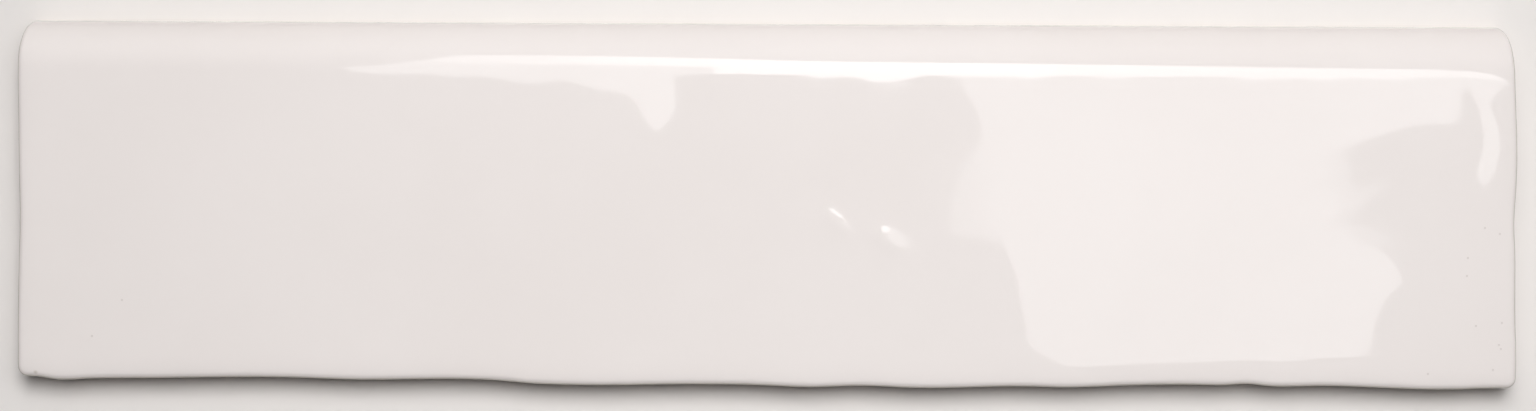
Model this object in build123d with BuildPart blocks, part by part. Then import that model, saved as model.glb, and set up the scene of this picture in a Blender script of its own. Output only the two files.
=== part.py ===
from build123d import *
from math import exp
import os

# Bullnose wall tile, pressed from clay and fired as one glazed piece. It lies on its back with
# its face up. Millimetres: X runs along the tile, Y across it with the bullnose at +Y, and Z is
# up from the plane of the back. The origin is under the middle of the tile.

# Body of the tile
length = 300.0
width = 73.1
thickness = 11.0

# Bullnose along the back edge: the upright land left under it, and the quarter round above
bullnose_land = 1.0
bullnose_radius = thickness - bullnose_land

# Eased arrises of the other three sides, the two front corners in plan, which are a little
# rounder, and the edge round the back
arris_radius = 1.0
corner_margin = 0.4
corner_radius = arris_radius + corner_margin
back_ease = 0.5

# Keying grooves pressed into the back, running lengthwise
groove_width = 5.0
groove_pitch = 9.0
groove_depth = 0.8
groove_draft = 20.0
groove_margin = 8.0
groove_count = int((width - 2 * groove_margin - groove_width) / groove_pitch) + 1

# Hand-formed front edge: percent of the length from the left end, and how far the edge
# lies inside the straight line there
front_waves = [
    (1.2, 1.45), (2.7, 0.85), (5, 1.10), (9, 1.25), (18, 1.50), (22, 1.15), (32, 1.10), (34.5, 0.50),
    (38, 0.25), (45, 0.52), (49, 0.45), (53, 0.05), (56, 0.37), (60, 0.00), (67.5, 0.40), (70, 0.25),
    (74, 0.70), (78, 0.93), (80.5, 0.85), (82, 1.12), (83.5, 0.70), (87, 0.80), (96, 0.22), (98, 0.45),
]

# The two ends: percent of the width from the front edge, and how far the end lies inside
left_waves = [
    (0, 0.30), (15, 0.24), (35, 0.38), (44, 0.54), (57, 0.34), (73, 0.14), (85, 0.0), (93, 0.08), (97, 0.45),
    (100, 1.0),
]
right_waves = [
    (0, 0.10), (9, 0.02), (20, 0.24), (38, 0.32), (46, 0.54), (55, 0.18), (62, 0.0), (82, 0.40), (90, 0.60),
    (96, 1.0), (100, 1.6),
]

# Swells of the hand-pressed face: percent along and across the tile, reach in percent of the
# length and of the width, and height
face_swells = [
    (13, 57, 15, 40, 0.12),
    (40, 30, 13, 34, -0.10),
    (66, 45, 11, 34, 0.08),
    (90, 46, 8, 34, -0.06),
]

# Sheet that cuts the face out of a taller blank: its points along and across, how closely it
# follows them, how far it reaches past the tile in percent, and how much taller the blank is
face_columns = 31
face_rows = 9
face_tolerance = 0.002
face_overhang = 3
blank_spare = 5.0


def face_height(along, across):
    """Height of the face over the back, at a place given in percent of length and width."""
    height = thickness
    for at_along, at_across, reach_along, reach_across, swell in face_swells:
        height += swell * exp(-(((along - at_along) / reach_along) ** 2) - ((across - at_across) / reach_across) ** 2)
    return height


def face_sheet():
    """The face as one smooth sheet that reaches a little past the tile all round."""
    points = []
    face_reach = 100 + 2 * face_overhang
    for column in range(face_columns):
        along = face_reach * column / (face_columns - 1) - face_overhang
        strip = []
        for row in range(face_rows):
            across = face_reach * row / (face_rows - 1) - face_overhang
            strip.append((length * (along / 100 - 0.5), width * (across / 100 - 0.5), face_height(along, across)))
        points.append(strip)
    return Face.make_surface_from_array_of_points(points, tol=face_tolerance)


def is_upright(edge):
    """Whether an edge stands up from the back."""
    return abs(edge.tangent_at(0.5).Z) > 0.99


front_line = [(length * (share / 100 - 0.5), inset - width / 2) for share, inset in front_waves]
left_line = [(inset - length / 2, width * (share / 100 - 0.5)) for share, inset in left_waves]
right_line = [(length / 2 - inset, width * (share / 100 - 0.5)) for share, inset in right_waves]
front_left = (left_line[0][0], front_line[0][1])
front_right = (right_line[0][0], front_line[-1][1])

with BuildPart() as tile:
    # Block with the plan outline of the tile
    with BuildSketch() as plan:
        with BuildLine() as outline:
            Spline(front_left, *front_line, front_right)
            Spline(front_right, *right_line[1:])
            Line(right_line[-1], left_line[-1])
            Spline(front_left, *left_line[1:])
        make_face()
    extrude(amount=thickness + blank_spare)

    # Undulating face
    split(bisect_by=face_sheet(), keep=Keep.BOTTOM)

    # Bullnose along the back edge
    back_wall = tile.faces().sort_by(Axis.Y)[-1]
    fillet(back_wall.edges().sort_by(Axis.Z)[-1], bullnose_radius)

    # Front corners in plan
    fillet(tile.edges().filter_by(is_upright).sort_by(Axis.Y)[:2], corner_radius)

    # Arris: the front edge of the face leads it round both corners, along the ends and down the
    # ends of the bullnose to the lands under it
    front_rim = tile.faces().sort_by(Axis.Z)[-1].edges().sort_by(Axis.Y)[0]
    land_ends = tile.edges().filter_by(is_upright).sort_by(Axis.Y)[-2:]
    fillet([front_rim, *land_ends], arris_radius)

    # Eased edge round the back
    chamfer(tile.faces().sort_by(Axis.Z)[0].edges(), back_ease)

    # Keying grooves in the back
    with BuildSketch() as grooves:
        with GridLocations(0, groove_pitch, 1, groove_count):
            SlotOverall(length - 2 * groove_margin, groove_width)
    extrude(amount=groove_depth, taper=groove_draft, mode=Mode.SUBTRACT)

os.makedirs("parts", exist_ok=True)
tile.part.label = "tile"
export_step(tile.part, "parts/tile.step")
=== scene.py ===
from math import ceil, cos, dist, radians, sin, sqrt, tan

import bmesh
import bpy
import numpy as np
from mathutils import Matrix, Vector


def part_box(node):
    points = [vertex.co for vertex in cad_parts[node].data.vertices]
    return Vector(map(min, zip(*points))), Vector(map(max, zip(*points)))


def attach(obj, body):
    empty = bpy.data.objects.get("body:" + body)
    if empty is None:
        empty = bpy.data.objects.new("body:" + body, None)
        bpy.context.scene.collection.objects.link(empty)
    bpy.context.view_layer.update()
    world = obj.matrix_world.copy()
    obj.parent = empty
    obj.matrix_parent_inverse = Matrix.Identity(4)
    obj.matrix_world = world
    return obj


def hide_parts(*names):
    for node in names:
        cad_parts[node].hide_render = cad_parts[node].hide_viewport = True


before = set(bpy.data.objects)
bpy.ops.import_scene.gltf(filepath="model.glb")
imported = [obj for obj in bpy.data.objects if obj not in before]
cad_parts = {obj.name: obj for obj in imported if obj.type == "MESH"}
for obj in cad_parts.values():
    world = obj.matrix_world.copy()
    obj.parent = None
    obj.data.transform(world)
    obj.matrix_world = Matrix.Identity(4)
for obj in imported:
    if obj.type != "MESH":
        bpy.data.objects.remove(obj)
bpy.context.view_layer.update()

MM = 0.001

# Size of the tile, from the frame
tile_low, tile_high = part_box("tile")
LENGTH = tile_high.x - tile_low.x
WIDTH = tile_high.y - tile_low.y
HALF_LENGTH = LENGTH / 2
HALF_WIDTH = WIDTH / 2

# Section of the tile
THICKNESS = 11.0 * MM
BULLNOSE_RADIUS = 10.0 * MM
BULLNOSE_START = HALF_WIDTH - BULLNOSE_RADIUS
CORNER_RADIUS = 2.0 * MM
ARRIS_RADIUS = 1.0 * MM
BACK_EASE = 0.5 * MM

# Keying grooves of the back. Their ends are rounded by a share of the width just under a half.
GROOVE_WIDTH = 5.0 * MM
GROOVE_PITCH = 9.0 * MM
GROOVE_DEPTH = 0.8 * MM
GROOVE_DRAFT = radians(20)
GROOVE_MARGIN = 8.0 * MM
GROOVE_COUNT = 6
GROOVE_ROUNDING = 0.49

# Hand-formed front edge: percent of the length from the left end, and the inset in millimetres
FRONT_WAVES = [
    (0, 1.50), (1.2, 1.45), (2.7, 0.85), (5, 1.10), (9, 1.25), (18, 1.50), (22, 1.15), (32, 1.10),
    (34.5, 0.50), (38, 0.25), (45, 0.52), (49, 0.45), (53, 0.05), (56, 0.37), (60, 0.00), (67.5, 0.40),
    (70, 0.25), (74, 0.70), (78, 0.93), (80.5, 0.85), (82, 1.12), (83.5, 0.70), (87, 0.80), (96, 0.22),
    (98, 0.45), (100, 0.45),
]

# The two ends: percent of the width from the front edge, and the inset in millimetres
LEFT_WAVES = [
    (0, 0.30), (15, 0.24), (35, 0.38), (44, 0.54), (57, 0.34), (73, 0.14), (85, 0.0), (93, 0.08),
    (97, 0.45), (100, 1.0),
]
RIGHT_WAVES = [
    (0, 0.10), (9, 0.02), (20, 0.24), (38, 0.32), (46, 0.54), (55, 0.18), (62, 0.0), (82, 0.40),
    (90, 0.60), (96, 1.0), (100, 1.6),
]

# The waves reach this far in from an edge: in full up to the first distance, gone at the second
FRONT_REACH = (2.5 * MM, 7.5 * MM)
END_REACH = (2.5 * MM, 13.0 * MM)

# Swells of the face: percent along and across, reach in percent, and height in millimetres
FACE_SWELLS = [
    (13, 57, 15, 40, 0.12),
    (40, 30, 13, 34, -0.10),
    (66, 45, 11, 34, 0.08),
    (90, 46, 8, 34, -0.06),
]

# The face falls away towards the front and the ends: depth at the edge and reach, in millimetres
FRONT_FALL = 0.65
END_FALL = 0.45
RIM_REACH = 1.2

# Pimples under the glaze: place and reach along and across in millimetres, turn in degrees, height
PIMPLES = [
    (13.8, -3.6, 3.8, 2.1, -40, 0.167),
    (23.4, -6.8, 4.2, 2.3, -40, 0.203),
]

# Ripples of the glaze, in millimetres: height, lengths along and across, how far they wander from
# their lines in shares of a length, and the length over which they do
RIPPLES = [
    (0.0016, 2.3, 1.9, 0.7, 3.1),
    (0.006, 7.1, 5.3, 1.1, 9.0),
]

# Places where the glaze crept, in millimetres: middle, reach and height. The finer ripple there has
# its lengths, wander and reach as above.
CREEPS = [
    (40.5, 2.2, 3.5, 9.0, 0.003),
    (115.2, 3.6, 5.0, 8.0, 0.003),
    (19.0, -4.6, 8.0, 5.0, 0.011),
]
CREEP_RIPPLE = (0.7, 0.7, 1.0, 1.0)

# Fineness of the mesh: lines cut beside the rim, segments of the rounded edges, and cuts of the face
RIM_LINES = [1.5 * MM, 2.0 * MM, 2.7 * MM, 3.6 * MM]
BULLNOSE_SEGMENTS = 24
ARRIS_SEGMENTS = 6
CORNER_SEGMENTS = 6
GROOVE_SEGMENTS = 8
CUTS_ALONG = (20, 19)
CUTS_ACROSS = (88,)
SMOOTH_ANGLE = radians(35)

# How near counts as at a place, and which share of a direction counts as partly, mostly or wholly
# along an axis
NEAR = 0.01 * MM
PARTLY = 0.5
MOSTLY = 0.9
WHOLLY = 0.999

# Glaze, a little uneven in tone, and the line where it ends over the floor, which wanders
GLAZE_COLOUR = (0.905, 0.846, 0.822)
GLAZE_SHADE = (0.89, 0.83, 0.805)
GLAZE_ROUGHNESS = 0.02
GLAZE_IOR = 1.5
GLAZE_LINE = (0.6 * MM, 0.9 * MM)
GLAZE_LINE_WANDER = 1.0 * MM
CLOUD_RANGE = (0.3, 0.7)

# The glaze runs thin over the arrises, and the clay shows through: depths under the face in
# millimetres, and the least share of the tint
THIN_COLOUR = (0.70, 0.64, 0.58)
THIN_START = (0.15, 0.5)
THIN_END = (1.2, 2.6)
THIN_LEAST = 0.5

# Pinholes in the glaze, and a small chip by the front left corner, in pixels of the frame
PINHOLES = [
    (1485, 228), (1500, 234), (1468, 258), (1467, 276), (1502, 323), (1476, 326), (1499, 345),
    (1501, 349), (1493, 370), (1428, 374), (92, 336), (122, 300),
]
PINHOLE_RADIUS = 0.34 * MM
PINHOLE_COLOUR = (0.70, 0.64, 0.61)
CHIP = (35, 373)
CHIP_RADIUS = 0.75 * MM
CHIP_COLOUR = (0.52, 0.45, 0.38)

# Bare fired clay: grainy, paler in places, with dark specks
CLAY_COLOUR = (0.66, 0.58, 0.48)
CLAY_SHADE = (0.55, 0.47, 0.38)
CLAY_PALE = (0.74, 0.67, 0.57)
CLAY_ROUGHNESS = 0.85
SPECK_COLOUR = (0.30, 0.23, 0.17)
GRAIN_RANGE = (0.3, 0.7)
GRAIN_DEPTH = 0.05 * MM
MOTTLE_RANGE = (0.45, 0.75)
SPECK_RANGE = (0.1, 0.22)

# Patterns of the two finishes: scale for a metre, and detail
WANDER_NOISE = (60.0, 3.0)
CLOUD_NOISE = (25.0, 3.0)
GRAIN_NOISE = (900.0, 4.0)
MOTTLE_NOISE = (45.0, 5.0)
SPECK_SCALE = 260.0

# Floor
FLOOR_COLOUR = (0.85, 0.815, 0.791)
FLOOR_ROUGHNESS = 0.9
FLOOR_SIZE = 8.0

# Camera: straight above, turned a little, with the frame's width at the level of the face
CAMERA_HEIGHT = 641 * MM
CAMERA_PLACE = (0.17 * MM, -0.22 * MM)
CAMERA_ROLL = radians(0.28)
FRAME_WIDTH = 306.7 * MM
FRAME_PIXELS = (1536, 411)
SENSOR_WIDTH = 36.0

# Soft light high behind the tile. It doesn't show in the glaze.
LAMP_PLACE = (45 * MM, 325 * MM, 1250 * MM)
LAMP_SIZE = (450 * MM, 600 * MM)
LAMP_TARGET = (15 * MM, 0, 0)
LAMP_SPREAD = radians(75)
LAMP_POWER = 1.79

# Reflections in the glaze, each an outline in pixels of the frame. First the wide patch on the right
# with its hook, and the dimmer fringes along its two frayed sides.
PATCH_SHINE = [
    (960, 70), (964, 88), (976, 106), (980, 140), (978, 158), (976, 164), (990, 172), (1000, 180),
    (980, 189), (990, 198), (978, 205), (1000, 213), (982, 222), (1003, 234), (1004, 241), (1010, 262),
    (1024, 320), (1020, 338), (1032, 354), (1064, 367), (1085, 369), (1290, 363), (1362, 356), (1371, 350),
    (1376, 325), (1385, 299), (1396, 292), (1403, 283), (1394, 262), (1384, 250), (1362, 243), (1340, 234),
    (1316, 226), (1340, 213), (1350, 202), (1332, 190), (1316, 181), (1342, 170), (1318, 160), (1340, 151),
    (1372, 140), (1420, 125), (1456, 118), (1462, 92), (1468, 87), (1476, 99), (1484, 136), (1479, 174),
    (1480, 184), (1485, 189), (1495, 176), (1501, 148), (1499, 126), (1491, 100), (1510, 77),
]
LEFT_FRINGE_SHINE = [
    (984, 132), (972, 146), (966, 158), (955, 171), (962, 180), (949, 190), (957, 200), (946, 210),
    (951, 221), (947, 231), (958, 240), (1004, 243), (1004, 132),
]
RIGHT_FRINGE_SHINE = [
    (1300, 152), (1362, 145), (1340, 157), (1358, 170), (1352, 179), (1390, 189), (1366, 199), (1368, 210),
    (1350, 220), (1390, 231), (1398, 246), (1300, 246),
]

# The bright line along the foot of the bullnose, in three lengths from left to right
LEFT_SHINE = [
    (432, 60.5), (442, 57), (452, 55.3), (520, 55.1), (600, 56), (650, 57), (720, 58.6), (720, 67),
    (600, 65), (500, 64), (455, 62.5),
]
BAND_SHINE = [
    (715, 58.5), (760, 60), (813, 61.3), (880, 61.9), (940, 62.7), (1000, 63.4), (1060, 64.2), (1060, 74),
    (1000, 77), (958, 78), (915, 78.3), (883, 79), (846, 80), (815, 79.3), (790, 76.7), (770, 72.5),
    (745, 71), (715, 71.5),
]
END_SHINE = [
    (1055, 64.1), (1100, 64.7), (1150, 65.4), (1250, 67), (1340, 68.3), (1400, 69), (1440, 69.7),
    (1470, 71.2), (1490, 73.2), (1511, 75.8), (1509, 78.5), (1485, 78.5), (1440, 78), (1340, 77),
    (1200, 75.5), (1055, 74),
]

# The dimmer tail under the left of that line, with its drop, and a glint under its middle
TAIL_SHINE = [
    (346, 67), (380, 64.8), (400, 62), (420, 60), (440, 57.3), (560, 58), (720, 62), (720, 72),
    (712, 74), (700, 76.5), (680, 76.5), (673, 78), (676, 86), (678, 100), (677, 112), (672, 122),
    (664, 131), (657, 134), (650, 129), (645, 119), (641, 110), (636, 101), (626, 93), (612, 89),
    (598, 87.5), (570, 86), (540, 84.3), (520, 82), (500, 79), (480, 77.3), (450, 75.7), (430, 74),
    (400, 72), (375, 70.3), (352, 69.3),
]
GLINT_SHINE = [(883, 83), (892, 81), (905, 82), (912, 84), (904, 86), (890, 85)]

# Glowing panels that make these reflections, from the highest to the lowest: name, outline, and
# brightness at the left and right ends
PANELS = [
    ("left_fringe_panel", LEFT_FRINGE_SHINE, (1.0, 1.3)),
    ("right_fringe_panel", RIGHT_FRINGE_SHINE, (1.6, 0.9)),
    ("patch_panel", PATCH_SHINE, (1.7, 2.4)),
    ("glint_panel", GLINT_SHINE, (1.9, 1.9)),
    ("tail_panel", TAIL_SHINE, (2.2, 2.2)),
    ("left_panel", LEFT_SHINE, (3.0, 4.6)),
    ("band_panel", BAND_SHINE, (5.0, 5.2)),
    ("end_panel", END_SHINE, (4.8, 3.0)),
]

# Height of the highest panel and the step down to each next one, pixels between the corners of an
# outline, and the rounds in which a place on the bullnose is found
PANEL_HEIGHT = 613 * MM
PANEL_STEP = 1.0 * MM
OUTLINE_STEP = 6.0
MIRROR_ROUNDS = 6

# The room: an even level, what its paler walls add to it, each with the direction it lies in, a wall
# that shows only in the glaze, and how the walls fade out to their sides
ROOM_COLOUR = (1, 0.985, 0.97)
ROOM_BRIGHTNESS = 0.02
BACKDROP_BRIGHTNESS = 0.9
WALLS = [((-0.2, 0.98, 0), 0.1), ((1, 0, 0), 0.19), ((-1, 0, 0), 0.07)]
SHEEN_WALL = ((-0.5, 0.87, 0), 0.4)
WALL_EDGES = (0.35, 0.9)


class Shade:
    """A shader socket. Arithmetic on it adds Math nodes to its material."""

    def __init__(self, tree, socket=None):
        self.tree = tree
        self.socket = socket

    def node(self, kind, settings=None, inputs=None, output=0):
        """Add a node from its type, its settings, and the values or links of its sockets."""
        made = self.tree.nodes.new(kind)
        for name, value in (settings or {}).items():
            setattr(made, name, value)
        for name, value in (inputs or {}).items():
            if isinstance(value, Shade):
                self.tree.links.new(value.socket, made.inputs[name])
            else:
                made.inputs[name].default_value = value
        return Shade(self.tree, made.outputs[output] if made.outputs else None)

    def math(self, operation, first, second):
        """A number from two numbers."""
        return self.node("ShaderNodeMath", {"operation": operation}, {0: first, 1: second})

    def __add__(self, other):
        return self.math("ADD", self, other)

    def __sub__(self, other):
        return self.math("SUBTRACT", self, other)

    def __rsub__(self, other):
        return self.math("SUBTRACT", other, self)

    def __mul__(self, other):
        return self.math("MULTIPLY", self, other)

    __radd__ = __add__
    __rmul__ = __mul__

    def vector_math(self, operation, other):
        """A number from this vector and another one."""
        pair = {0: self, 1: other}
        return self.node("ShaderNodeVectorMath", {"operation": operation}, pair, output="Value")

    def axis(self, name):
        """One axis of this vector."""
        return self.node("ShaderNodeSeparateXYZ", inputs={0: self}, output=name)

    def noise(self, scale, detail):
        """A noise pattern over this place."""
        return self.node("ShaderNodeTexNoise", inputs={"Vector": self, "Scale": scale, "Detail": detail})

    def ramp(self, low, high):
        """0 below low, 1 above high, smooth between."""
        limits = {"Value": self, "From Min": low, "From Max": high}
        return self.node("ShaderNodeMapRange", {"interpolation_type": "SMOOTHSTEP"}, limits)

    def close_to(self, place, radius):
        """1 at a place, fading to 0 at a radius from it."""
        return 1 - self.vector_math("DISTANCE", place).ramp(0, radius)

    def blend(self, first, second):
        """The first colour where this is 0, the second where it is 1."""
        return self.node("ShaderNodeMix", {"data_type": "RGBA"}, {0: self, 6: first, 7: second}, output=2)


def new_material(name):
    """An empty material and a Shade to start its nodes from."""
    material = bpy.data.materials.new(name)
    material.use_nodes = True
    material.node_tree.nodes.clear()
    return material, Shade(material.node_tree)


def add_box(name, place, size):
    """A box at its size and place, opened in edit mode."""
    bpy.ops.object.select_all(action="DESELECT")
    bpy.ops.mesh.primitive_cube_add(size=1, location=place, scale=size)
    box = bpy.context.object
    box.name = name
    bpy.ops.object.transform_apply(location=True, rotation=True, scale=True)
    bpy.ops.object.mode_set(mode="EDIT")
    return box


def choose(piece, kind, wanted):
    """Select, in edit mode, only the edges or faces that pass a test."""
    bpy.ops.mesh.select_mode(type=kind)
    bpy.ops.mesh.select_all(action="DESELECT")
    mesh = bmesh.from_edit_mesh(piece.data)
    mesh.normal_update()
    items = mesh.edges if kind == "EDGE" else mesh.faces
    for item in items:
        if wanted(item):
            item.select_set(True)
    mesh.select_flush_mode()
    bmesh.update_edit_mesh(piece.data)


def middle(edge):
    """The middle of an edge."""
    return (edge.verts[0].co + edge.verts[1].co) / 2


def run(edge):
    """The edge's direction as absolute shares of X, Y and Z."""
    step = (edge.verts[1].co - edge.verts[0].co).normalized()
    return abs(step.x), abs(step.y), abs(step.z)


def round_off(radius, segments):
    """Bevel the selected edges."""
    bpy.ops.mesh.bevel(
        offset_type="OFFSET", offset=radius, segments=segments, profile=0.5, affect="EDGES",
        clamp_overlap=False,
    )


def cut(points, normal):
    """Bisect everything shown, in edit mode, by planes through the points."""
    for point in points:
        bpy.ops.mesh.select_all(action="SELECT")
        bpy.ops.mesh.bisect(plane_co=point, plane_no=normal)


def divide(tile, axis, span, rounds):
    """Divide the shown edges that run along an axis for the whole of a span."""
    for cuts in rounds:
        def wanted(edge):
            return not edge.hide and run(edge)[axis] > WHOLLY and abs(edge.calc_length() - span) < NEAR
        choose(tile, "EDGE", wanted)
        bpy.ops.mesh.subdivide(number_cuts=cuts)
        span /= cuts + 1


def round_edges(tile):
    """Round the bullnose, the front corners, the arrises and the edge round the back."""
    def on_bullnose(edge):
        spot = middle(edge)
        return spot.y > HALF_WIDTH - NEAR and spot.z > THICKNESS - NEAR and run(edge)[0] > MOSTLY
    choose(tile, "EDGE", on_bullnose)
    round_off(BULLNOSE_RADIUS, BULLNOSE_SEGMENTS)

    def on_front_corner(edge):
        return middle(edge).y < 0 and run(edge)[2] > MOSTLY
    choose(tile, "EDGE", on_front_corner)
    round_off(CORNER_RADIUS, CORNER_SEGMENTS)

    def on_arris(edge):
        spot = middle(edge)
        if spot.y < CORNER_RADIUS + NEAR - HALF_WIDTH:
            return spot.z > THICKNESS - NEAR and run(edge)[2] < PARTLY
        at_end = abs(spot.x) > HALF_LENGTH - CORNER_RADIUS - NEAR
        return at_end and spot.z > NEAR and run(edge)[0] < PARTLY
    choose(tile, "EDGE", on_arris)
    round_off(ARRIS_RADIUS, ARRIS_SEGMENTS)

    choose(tile, "EDGE", lambda edge: middle(edge).z < NEAR)
    round_off(BACK_EASE, 1)


def cut_skin(tile):
    """Cut the face and the sides finely enough to take their waves. The back stays whole."""
    choose(tile, "FACE", lambda face: face.normal.z < -MOSTLY)
    bpy.ops.mesh.hide()
    for inset in RIM_LINES:
        end = HALF_LENGTH - inset
        front = inset - HALF_WIDTH
        cut([(-end, 0, 0), (end, 0, 0)], (1, 0, 0))
        cut([(0, front, 0)], (0, 1, 0))
    cut([(0, BULLNOSE_START, 0)], (0, 1, 0))
    divide(tile, 0, 2 * end, CUTS_ALONG)
    divide(tile, 1, BULLNOSE_START - front, CUTS_ACROSS)
    bpy.ops.mesh.reveal()


def plain_tile():
    """The tile with straight edges and a flat face."""
    tile = add_box("glazed_tile", (0, 0, THICKNESS / 2), (LENGTH, WIDTH, THICKNESS))
    round_edges(tile)
    cut_skin(tile)
    bpy.ops.object.mode_set(mode="OBJECT")
    return tile


def smooth_line(stops, at):
    """A smooth curve through given stops, read at many places."""
    x = np.array([stop[0] for stop in stops], float)
    y = np.array([stop[1] for stop in stops], float)
    slope = np.gradient(y, x)
    slot = np.clip(np.searchsorted(x, at) - 1, 0, len(x) - 2)
    span = x[slot + 1] - x[slot]
    t = np.clip((at - x[slot]) / span, 0, 1)
    rise = (1 + 2 * t) * (1 - t) ** 2 * y[slot] + t ** 2 * (3 - 2 * t) * y[slot + 1]
    return rise + span * (t * (1 - t) ** 2 * slope[slot] + t ** 2 * (t - 1) * slope[slot + 1])


def fade(distance, full, none):
    """1 up to the distance called full, 0 past the one called none."""
    t = np.clip((none - distance) / (none - full), 0, 1)
    return t * t * (3 - 2 * t)


def percent(place, span):
    """A place, measured from the middle of a span, in percent of the span."""
    return 100 * (place / span + 0.5)


def hump(along, across):
    """A smooth hump, 1 at its middle, at places in shares of its reach."""
    return np.exp(-(along ** 2) - across ** 2)


def ripple(x, y, along, across, wander, reach):
    """Crossed waves of two lengths that wander from their lines."""
    return np.sin(x / along + wander * np.sin(y / reach)) * np.sin(y / across + wander * np.sin(x / reach))


def face_level(x, y):
    """Height of the swelling face over its flat level, in millimetres, at places in millimetres."""
    height = np.zeros_like(x)
    rims = [
        (y + HALF_WIDTH / MM, FRONT_FALL),
        (x + HALF_LENGTH / MM, END_FALL),
        (HALF_LENGTH / MM - x, END_FALL),
    ]
    for inset, fall in rims:
        height -= fall * np.exp(-inset / RIM_REACH)
    along = percent(x * MM, LENGTH)
    across = percent(y * MM, WIDTH)
    for at_along, at_across, reach_along, reach_across, swell in FACE_SWELLS:
        height += swell * hump((along - at_along) / reach_along, (across - at_across) / reach_across)
    return height


def glaze_relief(x, y):
    """Height of the pimples and ripples of the glaze, in millimetres, at places in millimetres."""
    height = np.zeros_like(x)
    for at_x, at_y, reach_along, reach_across, turn, swell in PIMPLES:
        along = (x - at_x) * cos(radians(turn)) + (y - at_y) * sin(radians(turn))
        across = (y - at_y) * cos(radians(turn)) - (x - at_x) * sin(radians(turn))
        height += swell * hump(along / reach_along, across / reach_across)
    for swell, *waves in RIPPLES:
        height += swell * ripple(x, y, *waves)
    for at_x, at_y, reach_x, reach_y, swell in CREEPS:
        window = np.exp(-(((x - at_x) / reach_x) ** 4) - ((y - at_y) / reach_y) ** 4)
        height += swell * window * ripple(x, y, *CREEP_RIPPLE)
    return height


def skin_depth(y, z):
    """How far a place of the plain tile lies under its face and its bullnose."""
    past = np.maximum(y - BULLNOSE_START, 0)
    up = np.maximum(z - (THICKNESS - BULLNOSE_RADIUS), 0)
    return np.where(y > BULLNOSE_START, BULLNOSE_RADIUS - np.hypot(past, up), THICKNESS - z)


def form_waves(tile):
    """Move the plain tile's skin into the waves of its edges and the relief of its face."""
    places = np.empty(3 * len(tile.data.vertices))
    tile.data.vertices.foreach_get("co", places)
    places = places.reshape(-1, 3)
    x, y, z = places.T.copy()
    along = percent(x, LENGTH)
    across = percent(y, WIDTH)
    places[:, 1] += MM * fade(y + HALF_WIDTH, *FRONT_REACH) * smooth_line(FRONT_WAVES, along)
    places[:, 0] += MM * fade(x + HALF_LENGTH, *END_REACH) * smooth_line(LEFT_WAVES, across)
    places[:, 0] -= MM * fade(HALF_LENGTH - x, *END_REACH) * smooth_line(RIGHT_WAVES, across)

    # The relief is whole at the level of the face, and gone at half the thickness
    relief = face_level(x / MM, y / MM) + glaze_relief(x / MM, y / MM)
    places[:, 2] += MM * relief * np.clip(2 * z / THICKNESS - 1, 0, 1)
    tile.data.vertices.foreach_set("co", places.ravel())

    depth = tile.data.attributes.new("skin_depth", "FLOAT", "POINT")
    depth.data.foreach_set("value", skin_depth(y, z) / MM)
    tile.data.update()


def groove_bars():
    """Bars in the shape of the keying grooves, drawn in towards the floor of each groove."""
    bar_length = LENGTH - 2 * GROOVE_MARGIN
    first = -GROOVE_PITCH * (GROOVE_COUNT - 1) / 2
    bars = add_box("groove_bars", (0, first, 0), (bar_length, GROOVE_WIDTH, 2 * GROOVE_DEPTH))
    choose(bars, "EDGE", lambda edge: run(edge)[2] > MOSTLY)
    round_off(GROOVE_ROUNDING * GROOVE_WIDTH, GROOVE_SEGMENTS)
    step = 2 * GROOVE_DEPTH * tan(GROOVE_DRAFT)
    for side, grow in ((1, -step), (-1, step)):
        choose(bars, "FACE", lambda face: face.normal.z * side > MOSTLY)
        scale = (1 + grow / bar_length, 1 + grow / GROOVE_WIDTH, 1)
        bpy.ops.transform.resize(value=scale, center_override=(0, first, side * GROOVE_DEPTH))
    bpy.ops.object.mode_set(mode="OBJECT")
    rows = bars.modifiers.new("rows", "ARRAY")
    rows.count = GROOVE_COUNT
    rows.use_relative_offset = False
    rows.use_constant_offset = True
    rows.constant_offset_displace = (0, GROOVE_PITCH, 0)
    bpy.ops.object.modifier_apply(modifier="rows")
    return bars


def press_grooves(tile):
    """Take the keying grooves out of the back."""
    bars = groove_bars()
    bpy.ops.object.select_all(action="DESELECT")
    bpy.context.view_layer.objects.active = tile
    tile.select_set(True)
    grooves = tile.modifiers.new("grooves", "BOOLEAN")
    grooves.operation = "DIFFERENCE"
    grooves.solver = "EXACT"
    grooves.object = bars
    bpy.ops.object.modifier_apply(modifier="grooves")
    bpy.data.objects.remove(bars)


def glaze_colour(spot, wander):
    """Off-white, uneven in tone, thin over the arrises, with pinholes and a chip."""
    clouds = spot.noise(*CLOUD_NOISE)
    white = clouds.ramp(*CLOUD_RANGE).blend((*GLAZE_SHADE, 1), (*GLAZE_COLOUR, 1))
    depth = spot.node("ShaderNodeAttribute", {"attribute_name": "skin_depth"}, output="Fac")
    thin = depth.ramp(*THIN_START) * (1 - depth.ramp(*THIN_END)) * (THIN_LEAST + wander)
    white = thin.blend(white, (*THIN_COLOUR, 1))
    pits = sum(spot.close_to(place_in_frame(pixel), PINHOLE_RADIUS) for pixel in PINHOLES)
    white = pits.blend(white, (*PINHOLE_COLOUR, 1))
    return spot.close_to(place_in_frame(CHIP), CHIP_RADIUS).blend(white, (*CHIP_COLOUR, 1))


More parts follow.
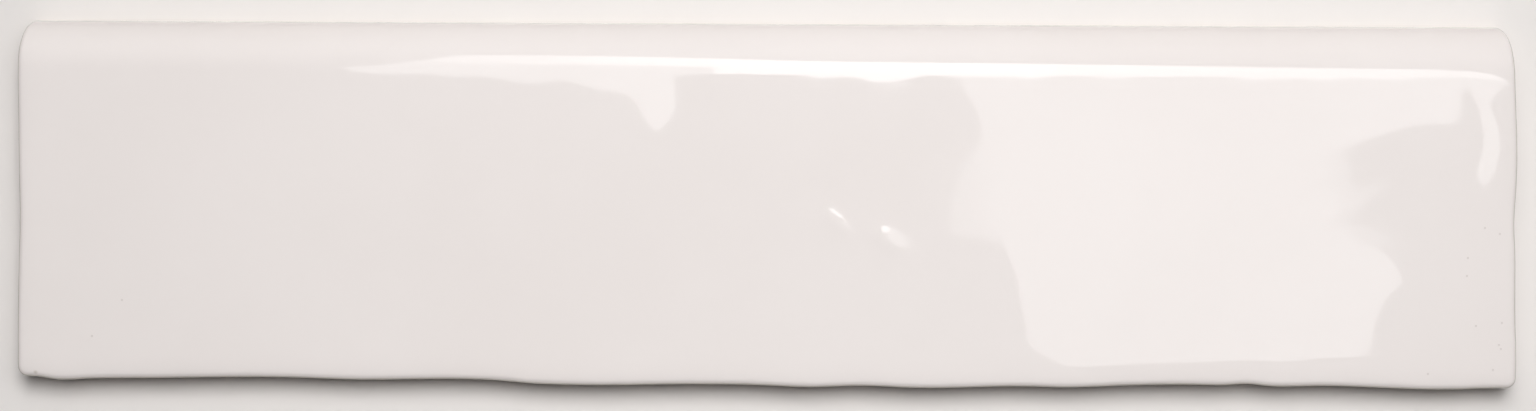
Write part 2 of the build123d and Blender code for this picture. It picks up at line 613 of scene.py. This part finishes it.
def clay_colour(spot, grain):
    """Pale brown, grainy, paler in places, with dark specks."""
    clay = grain.ramp(*GRAIN_RANGE).blend((*CLAY_SHADE, 1), (*CLAY_COLOUR, 1))
    clay = spot.noise(*MOTTLE_NOISE).ramp(*MOTTLE_RANGE).blend(clay, (*CLAY_PALE, 1))
    cells = spot.node("ShaderNodeTexVoronoi", inputs={"Vector": spot, "Scale": SPECK_SCALE})
    return (1 - cells.ramp(*SPECK_RANGE)).blend(clay, (*SPECK_COLOUR, 1))


def glaze():
    """Glossy off-white glaze, bare fired clay below the glaze line and on the back."""
    material, start = new_material("off_white_glaze")
    spot = start.node("ShaderNodeTexCoord", output="Object")
    wander = spot.noise(*WANDER_NOISE)
    grain = spot.noise(*GRAIN_NOISE)
    glazed = (spot.axis("Z") - GLAZE_LINE_WANDER * wander).ramp(*GLAZE_LINE)
    relief = {"Strength": 1.0, "Distance": GRAIN_DEPTH, "Height": grain * (1 - glazed)}
    finish = {
        "Base Color": glazed.blend(clay_colour(spot, grain), glaze_colour(spot, wander)),
        "Roughness": CLAY_ROUGHNESS + (GLAZE_ROUGHNESS - CLAY_ROUGHNESS) * glazed,
        "Normal": start.node("ShaderNodeBump", inputs=relief),
        "IOR": GLAZE_IOR,
    }
    shader = start.node("ShaderNodeBsdfPrincipled", inputs=finish)
    start.node("ShaderNodeOutputMaterial", inputs={"Surface": shader})
    return material


def floor_paint():
    """Plain pale paint."""
    material, start = new_material("pale_floor")
    finish = {"Base Color": (*FLOOR_COLOUR, 1), "Roughness": FLOOR_ROUGHNESS}
    shader = start.node("ShaderNodeBsdfPrincipled", inputs=finish)
    start.node("ShaderNodeOutputMaterial", inputs={"Surface": shader})
    return material


def lay_floor():
    """A plain floor that the tile lies on."""
    bpy.ops.object.select_all(action="DESELECT")
    bpy.ops.mesh.primitive_plane_add(size=FLOOR_SIZE)
    floor = bpy.context.object
    floor.name = "floor"
    floor.data.materials.append(floor_paint())


def place_in_frame(pixel):
    """Where the line of sight through a pixel of the frame meets the level of the face."""
    scale = FRAME_WIDTH / FRAME_PIXELS[0]
    right = (pixel[0] - FRAME_PIXELS[0] / 2) * scale
    up = (FRAME_PIXELS[1] / 2 - pixel[1]) * scale
    x = CAMERA_PLACE[0] + right * cos(CAMERA_ROLL) - up * sin(CAMERA_ROLL)
    y = CAMERA_PLACE[1] + right * sin(CAMERA_ROLL) + up * cos(CAMERA_ROLL)
    return Vector((x, y, THICKNESS))


def face_slope(spot):
    """Slopes of the swelling face along X and Y."""
    x = np.array([spot.x + MM, spot.x - MM, spot.x, spot.x]) / MM
    y = np.array([spot.y, spot.y, spot.y + MM, spot.y - MM]) / MM
    levels = face_level(x, y)
    return (levels[0] - levels[1]) / 2, (levels[2] - levels[3]) / 2


def mirrored(pixel, level):
    """Where the line of sight through a pixel reaches a level overhead, once the glaze has turned it back."""
    eye = Vector((*CAMERA_PLACE, CAMERA_HEIGHT))
    sight = place_in_frame(pixel) - eye
    spot = eye + sight

    # The bullnose lies lower than the face, so the place on it is found in a few rounds
    for _ in range(MIRROR_ROUNDS):
        past = max(spot.y - BULLNOSE_START, 0)
        rest = sqrt(BULLNOSE_RADIUS ** 2 - past ** 2)
        spot = eye + sight * (1 + (BULLNOSE_RADIUS - rest) / (CAMERA_HEIGHT - THICKNESS))

    slope_x, slope_y = face_slope(spot)
    normal = Vector((-slope_x, past / rest - slope_y, 1)).normalized()
    way = sight.reflect(normal)
    return spot + way * (level - spot.z) / way.z


def panel_corners(shine, level):
    """The corners of a panel at a level overhead, such that it mirrors in an outline of the frame."""
    corners = []
    for near, far in zip(shine, shine[1:] + shine[:1]):
        count = ceil(dist(near, far) / OUTLINE_STEP)
        for step in range(count):
            pixel = [begin + step / count * (end - begin) for begin, end in zip(near, far)]
            corners.append(mirrored(pixel, level))
    return corners


def panel_glow(name, corners, brightness):
    """Even light, graded from the left end of a panel to its right end."""
    material, start = new_material(name + "_glow")
    left_end = min(corner.x for corner in corners)
    right_end = max(corner.x for corner in corners)
    along = start.node("ShaderNodeTexCoord", output="Object").axis("X").ramp(left_end, right_end)
    level = brightness[0] + (brightness[1] - brightness[0]) * along
    glow = start.node("ShaderNodeEmission", inputs={"Color": level, "Strength": 1.0})
    start.node("ShaderNodeOutputMaterial", inputs={"Surface": glow})
    return material


def hang_panel(name, shine, level, brightness):
    """A flat glowing panel over the tile, out of the camera's sight, that shows in the glaze."""
    corners = panel_corners(shine, level)
    bpy.ops.object.select_all(action="DESELECT")
    bpy.ops.mesh.primitive_circle_add(vertices=len(corners), fill_type="NGON")
    panel = bpy.context.object
    panel.name = name
    for vertex, corner in zip(panel.data.vertices, corners):
        vertex.co = corner
    panel.data.materials.append(panel_glow(name, corners, brightness))
    panel.visible_camera = False
    panel.visible_shadow = False


def hang_lamp():
    """The soft light. It doesn't show in the glaze, where the panels do."""
    data = bpy.data.lights.new("lamp", "AREA")
    data.shape = "RECTANGLE"
    data.size, data.size_y = LAMP_SIZE
    data.spread = LAMP_SPREAD
    data.energy = LAMP_POWER
    lamp = bpy.data.objects.new("lamp", data)
    lamp.location = LAMP_PLACE
    lamp.rotation_euler = (Vector(LAMP_TARGET) - Vector(LAMP_PLACE)).to_track_quat("-Z", "Y").to_euler()
    lamp.visible_camera = False
    lamp.visible_glossy = False
    bpy.context.collection.objects.link(lamp)


def light_room():
    """A dim room with paler walls, one of them only for the glaze, and a pale backdrop for the camera."""
    world = bpy.data.worlds.new("room")
    world.use_nodes = True
    world.node_tree.nodes.clear()
    start = Shade(world.node_tree)
    way = start.node("ShaderNodeTexCoord", output="Generated")

    def wall(side, brightness):
        return brightness * way.vector_math("DOT_PRODUCT", side).ramp(*WALL_EDGES)

    level = ROOM_BRIGHTNESS
    for side, brightness in WALLS:
        level = level + wall(side, brightness)
    in_glaze = start.node("ShaderNodeLightPath", output="Is Glossy Ray")
    level = level + in_glaze * wall(*SHEEN_WALL)
    seen = start.node("ShaderNodeLightPath", output="Is Camera Ray")
    level = level + seen * (BACKDROP_BRIGHTNESS - level)
    room = start.node("ShaderNodeBackground", inputs={"Color": (*ROOM_COLOUR, 1), "Strength": level})
    start.node("ShaderNodeOutputWorld", inputs={"Surface": room})
    bpy.context.scene.world = world


def place_camera():
    """The camera over the tile, looking straight down."""
    camera_data = bpy.data.cameras.new("camera")
    camera = bpy.data.objects.new("camera", camera_data)
    bpy.context.collection.objects.link(camera)
    camera.location = (*CAMERA_PLACE, CAMERA_HEIGHT)
    camera.rotation_euler = (0, 0, CAMERA_ROLL)
    camera_data.sensor_width = SENSOR_WIDTH
    camera_data.lens = SENSOR_WIDTH * (CAMERA_HEIGHT - THICKNESS) / FRAME_WIDTH
    bpy.context.scene.camera = camera


tile = plain_tile()
form_waves(tile)
press_grooves(tile)
bpy.ops.object.shade_smooth_by_angle(angle=SMOOTH_ANGLE)
tile.data.materials.clear()
tile.data.materials.append(glaze())
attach(tile, "root")
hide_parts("tile")

lay_floor()
hang_lamp()
for place, (name, shine, brightness) in enumerate(PANELS):
    hang_panel(name, shine, PANEL_HEIGHT - place * PANEL_STEP, brightness)
light_room()
place_camera()
bpy.context.scene.view_settings.view_transform = "Standard"
